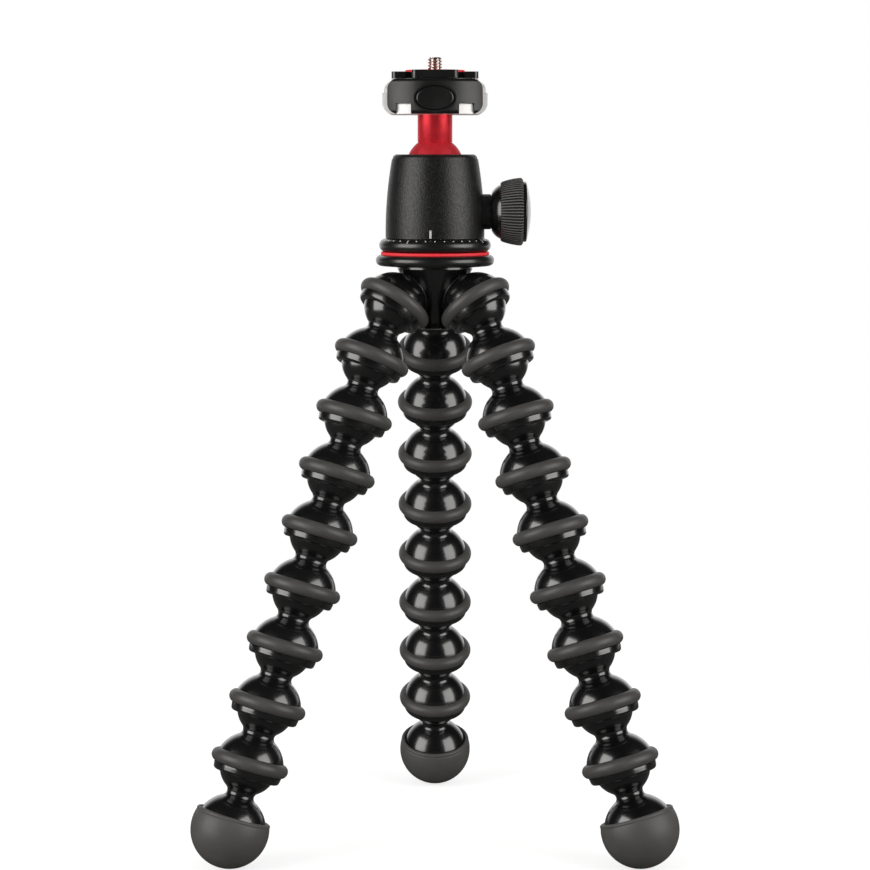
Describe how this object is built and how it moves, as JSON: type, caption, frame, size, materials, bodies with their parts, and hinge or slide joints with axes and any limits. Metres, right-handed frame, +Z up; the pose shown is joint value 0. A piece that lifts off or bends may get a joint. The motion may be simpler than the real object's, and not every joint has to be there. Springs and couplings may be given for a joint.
{
  "type": "flexible leg tripod",
  "caption": "Small tripod on bendable ball-and-socket legs with rubber rings, carrying a screw-on ball head with a lock knob, a quick-release clamp and a camera plate.",
  "frame": {"origin": "on the floor, on the hub's vertical axis", "axes": "+Z up along the hub and the camera screw, -Y to the front with the clamp's button, +X to the lock knob"},
  "size_m": [0.2102, 0.1867, 0.3473],
  "materials": {
    "gloss_black_plastic": "gloss",
    "leg_plastic": "gloss",
    "grey_rubber": "matte",
    "grip_rubber": "matte, ribbed",
    "red_pad": "matte",
    "bright_steel": "bright",
    "black_aluminium": "black, fine-textured satin",
    "red_aluminium": "red anodised satin",
    "seat_plastic": "matte",
    "silver_aluminium": "satin",
    "satin_black_plastic": "satin",
    "pale_green_plastic": "satin"
  },
  "bodies": {
    "hub": {"hub_body": "gloss_black_plastic", "mount_disc": "gloss_black_plastic", "disc_screws": "bright_steel", "disc_pad": "red_pad", "tripod_screw": "bright_steel"},
    "left_hub_ring": {"left_hub_ring": "grey_rubber"},
    "left_link_1": {"left_link_1": "leg_plastic"},
    "left_link_2": {"left_link_2": "leg_plastic"},
    "left_link_3": {"left_link_3": "leg_plastic"},
    "left_link_4": {"left_link_4": "leg_plastic"},
    "left_link_5": {"left_link_5": "leg_plastic"},
    "left_link_6": {"left_link_6": "leg_plastic"},
    "left_link_7": {"left_link_7": "leg_plastic"},
    "left_link_8": {"left_link_8": "leg_plastic"},
    "left_foot": {"left_foot": "leg_plastic", "left_boot": "grey_rubber"},
    "right_hub_ring": {"right_hub_ring": "grey_rubber"},
    "right_link_1": {"right_link_1": "leg_plastic"},
    "right_link_2": {"right_link_2": "leg_plastic"},
    "right_link_3": {"right_link_3": "leg_plastic"},
    "right_link_4": {"right_link_4": "leg_plastic"},
    "right_link_5": {"right_link_5": "leg_plastic"},
    "right_link_6": {"right_link_6": "leg_plastic"},
    "right_link_7": {"right_link_7": "leg_plastic"},
    "right_link_8": {"right_link_8": "leg_plastic"},
    "right_foot": {"right_foot": "leg_plastic", "right_boot": "grey_rubber"},
    "back_hub_ring": {"back_hub_ring": "grey_rubber"},
    "back_link_1": {"back_link_1": "leg_plastic"},
    "back_link_2": {"back_link_2": "leg_plastic"},
    "back_link_3": {"back_link_3": "leg_plastic"},
    "back_link_4": {"back_link_4": "leg_plastic"},
    "back_link_5": {"back_link_5": "leg_plastic"},
    "back_link_6": {"back_link_6": "leg_plastic"},
    "back_link_7": {"back_link_7": "leg_plastic"},
    "back_link_8": {"back_link_8": "leg_plastic"},
    "back_foot": {"back_foot": "leg_plastic", "back_boot": "grey_rubber"},
    "head_axle": {"pan_axle": "bright_steel"},
    "head_base": {"pan_base": "black_aluminium"},
    "head_housing": {"housing": "black_aluminium", "floor_plate": "bright_steel"},
    "ball_seat": {"ball_seat": "seat_plastic"},
    "brake_shoe": {"brake_shoe": "bright_steel"},
    "lock_knob": {"lock_screw": "bright_steel", "knob_hub": "gloss_black_plastic", "knob_grip": "grip_rubber", "knob_cap": "gloss_black_plastic"},
    "ball_stem": {"ball_stem": "red_aluminium"},
    "clamp": {"clamp_base": "silver_aluminium", "clamp_screw": "bright_steel"},
    "front_jaw": {"front_jaw": "black_aluminium", "jaw_rods": "bright_steel"},
    "release_button": {"release_button": "satin_black_plastic"},
    "camera_plate": {"camera_plate": "silver_aluminium", "plate_frame": "satin_black_plastic", "end_stops": "satin_black_plastic", "plate_pad": "red_pad", "level_vial": "pale_green_plastic"},
    "camera_screw": {"camera_screw": "bright_steel"}
  },
  "joints": [
    {"name": "left_swivel", "type": "hinge", "parent": "hub", "child": "left_hub_ring", "pos_m": [-0.01845, -0.01065, 0.23942], "axis": [-0.5332, -0.3078, -0.788], "continuous": true},
    {"name": "left_bend_1", "type": "hinge", "parent": "left_hub_ring", "child": "left_link_1", "pos_m": [-0.01845, -0.01065, 0.23942], "axis": [0.5, -0.866, 0], "range_deg": [-42.5, 17.5]},
    {"name": "left_bend_2", "type": "hinge", "parent": "left_link_1", "child": "left_link_2", "pos_m": [-0.02818, -0.01627, 0.21587], "axis": [-0.5, 0.866, 0], "range_deg": [-23.7, 36.3]},
    {"name": "left_bend_3", "type": "hinge", "parent": "left_link_2", "child": "left_link_3", "pos_m": [-0.03561, -0.02056, 0.19122], "axis": [0.5, -0.866, 0], "range_deg": [-30, 30]},
    {"name": "left_bend_4", "type": "hinge", "parent": "left_link_3", "child": "left_link_4", "pos_m": [-0.04304, -0.02485, 0.16657], "axis": [-0.5, 0.866, 0], "range_deg": [-30, 30]},
    {"name": "left_bend_5", "type": "hinge", "parent": "left_link_4", "child": "left_link_5", "pos_m": [-0.05048, -0.02914, 0.14192], "axis": [0.5, -0.866, 0], "range_deg": [-30, 30]},
    {"name": "left_bend_6", "type": "hinge", "parent": "left_link_5", "child": "left_link_6", "pos_m": [-0.05791, -0.03343, 0.11727], "axis": [-0.5, 0.866, 0], "range_deg": [-30, 30]},
    {"name": "left_bend_7", "type": "hinge", "parent": "left_link_6", "child": "left_link_7", "pos_m": [-0.06534, -0.03773, 0.09262], "axis": [0.5, -0.866, 0], "range_deg": [-30, 30]},
    {"name": "left_bend_8", "type": "hinge", "parent": "left_link_7", "child": "left_link_8", "pos_m": [-0.07278, -0.04202, 0.06798], "axis": [-0.5, 0.866, 0], "range_deg": [-30, 30]},
    {"name": "left_bend_9", "type": "hinge", "parent": "left_link_8", "child": "left_foot", "pos_m": [-0.08021, -0.04631, 0.04333], "axis": [0.5, -0.866, 0], "range_deg": [-30, 30]},
    {"name": "right_swivel", "type": "hinge", "parent": "hub", "child": "right_hub_ring", "pos_m": [0.01845, -0.01065, 0.23942], "axis": [0.5332, -0.3078, -0.788], "continuous": true},
    {"name": "right_bend_1", "type": "hinge", "parent": "right_hub_ring", "child": "right_link_1", "pos_m": [0.01845, -0.01065, 0.23942], "axis": [0.5, 0.866, 0], "range_deg": [-42.5, 17.5]},
    {"name": "right_bend_2", "type": "hinge", "parent": "right_link_1", "child": "right_link_2", "pos_m": [0.02818, -0.01627, 0.21587], "axis": [-0.5, -0.866, 0], "range_deg": [-23.7, 36.3]},
    {"name": "right_bend_3", "type": "hinge", "parent": "right_link_2", "child": "right_link_3", "pos_m": [0.03561, -0.02056, 0.19122], "axis": [0.5, 0.866, 0], "range_deg": [-30, 30]},
    {"name": "right_bend_4", "type": "hinge", "parent": "right_link_3", "child": "right_link_4", "pos_m": [0.04304, -0.02485, 0.16657], "axis": [-0.5, -0.866, 0], "range_deg": [-30, 30]},
    {"name": "right_bend_5", "type": "hinge", "parent": "right_link_4", "child": "right_link_5", "pos_m": [0.05048, -0.02914, 0.14192], "axis": [0.5, 0.866, 0], "range_deg": [-30, 30]},
    {"name": "right_bend_6", "type": "hinge", "parent": "right_link_5", "child": "right_link_6", "pos_m": [0.05791, -0.03343, 0.11727], "axis": [-0.5, -0.866, 0], "range_deg": [-30, 30]},
    {"name": "right_bend_7", "type": "hinge", "parent": "right_link_6", "child": "right_link_7", "pos_m": [0.06534, -0.03773, 0.09262], "axis": [0.5, 0.866, 0], "range_deg": [-30, 30]},
    {"name": "right_bend_8", "type": "hinge", "parent": "right_link_7", "child": "right_link_8", "pos_m": [0.07278, -0.04202, 0.06798], "axis": [-0.5, -0.866, 0], "range_deg": [-30, 30]},
    {"name": "right_bend_9", "type": "hinge", "parent": "right_link_8", "child": "right_foot", "pos_m": [0.08021, -0.04631, 0.04333], "axis": [0.5, 0.866, 0], "range_deg": [-30, 30]},
    {"name": "back_swivel", "type": "hinge", "parent": "hub", "child": "back_hub_ring", "pos_m": [0, 0.0213, 0.23942], "axis": [0, 0.6157, -0.788], "continuous": true},
    {"name": "back_bend_1", "type": "hinge", "parent": "back_hub_ring", "child": "back_link_1", "pos_m": [0, 0.0213, 0.23942], "axis": [-1, 0, 0], "range_deg": [-42.5, 17.5]},
    {"name": "back_bend_2", "type": "hinge", "parent": "back_link_1", "child": "back_link_2", "pos_m": [0, 0.03254, 0.21587], "axis": [1, 0, 0], "range_deg": [-23.7, 36.3]},
    {"name": "back_bend_3", "type": "hinge", "parent": "back_link_2", "child": "back_link_3", "pos_m": [0, 0.04112, 0.19122], "axis": [-1, 0, 0], "range_deg": [-30, 30]},
    {"name": "back_bend_4", "type": "hinge", "parent": "back_link_3", "child": "back_link_4", "pos_m": [0, 0.0497, 0.16657], "axis": [1, 0, 0], "range_deg": [-30, 30]},
    {"name": "back_bend_5", "type": "hinge", "parent": "back_link_4", "child": "back_link_5", "pos_m": [0, 0.05829, 0.14192], "axis": [-1, 0, 0], "range_deg": [-30, 30]},
    {"name": "back_bend_6", "type": "hinge", "parent": "back_link_5", "child": "back_link_6", "pos_m": [0, 0.06687, 0.11727], "axis": [1, 0, 0], "range_deg": [-30, 30]},
    {"name": "back_bend_7", "type": "hinge", "parent": "back_link_6", "child": "back_link_7", "pos_m": [0, 0.07545, 0.09262], "axis": [-1, 0, 0], "range_deg": [-30, 30]},
    {"name": "back_bend_8", "type": "hinge", "parent": "back_link_7", "child": "back_link_8", "pos_m": [0, 0.08404, 0.06798], "axis": [1, 0, 0], "range_deg": [-30, 30]},
    {"name": "back_bend_9", "type": "hinge", "parent": "back_link_8", "child": "back_foot", "pos_m": [0, 0.09262, 0.04333], "axis": [-1, 0, 0], "range_deg": [-30, 30]},
    {"name": "head_lift", "type": "slide", "parent": "hub", "child": "head_axle", "axis": [0, 0, 1], "range_m": [0, 0.0055]},
    {"name": "head_turn", "type": "hinge", "parent": "head_axle", "child": "head_base", "pos_m": [0, 0, 0.26282], "axis": [0, 0, 1], "range_deg": [0, 1559.1]},
    {"name": "pan", "type": "hinge", "parent": "head_base", "child": "head_housing", "pos_m": [0, 0, 0.26282], "axis": [0, 0, 1], "continuous": true},
    {"name": "lock_shift", "type": "slide", "parent": "head_housing", "child": "brake_shoe", "axis": [1, 0, 0], "range_m": [0, 0.001]},
    {"name": "lock_turn", "type": "hinge", "parent": "brake_shoe", "child": "lock_knob", "pos_m": [0, 0, 0.28032], "axis": [1, 0, 0], "range_deg": [0, 360]},
    {"name": "seat_drop", "type": "slide", "parent": "head_housing", "child": "ball_seat", "axis": [0, 0, -1], "range_m": [0, 0.000255]},
    {"name": "ball_tilt", "type": "hinge", "parent": "head_housing", "child": "ball_stem", "pos_m": [0, 0, 0.30042], "axis": [-1, 0, 0], "range_deg": [-27, 90]},
    {"name": "ball_spin", "type": "hinge", "parent": "ball_stem", "child": "clamp", "pos_m": [0, 0, 0.30042], "axis": [0, 0, 1], "continuous": true},
    {"name": "jaw_open", "type": "slide", "parent": "clamp", "child": "front_jaw", "axis": [0, -1, 0], "range_m": [0, 0.004]},
    {"name": "button_press", "type": "slide", "parent": "front_jaw", "child": "release_button", "axis": [0, 1, 0], "range_m": [0, 0.002], "stiffness_N_per_m": 2000, "springref_m": -0.0008},
    {"name": "plate_slide", "type": "slide", "parent": "clamp", "child": "camera_plate", "axis": [1, 0, 0], "range_m": [-0.044, 0.044]},
    {"name": "screw_turn", "type": "hinge", "parent": "camera_plate", "child": "camera_screw", "pos_m": [0, 0, 0.34183], "axis": [0, 0, 1], "continuous": true}
  ],
  "couplings": [
    {"joint": "head_turn", "follows": "head_lift", "rad_per_m": 4947.4},
    {"joint": "lock_turn", "follows": "lock_shift", "rad_per_m": 6283.2},
    {"joint": "seat_drop", "follows": "lock_shift", "ratio": 0.24933}
  ]
}
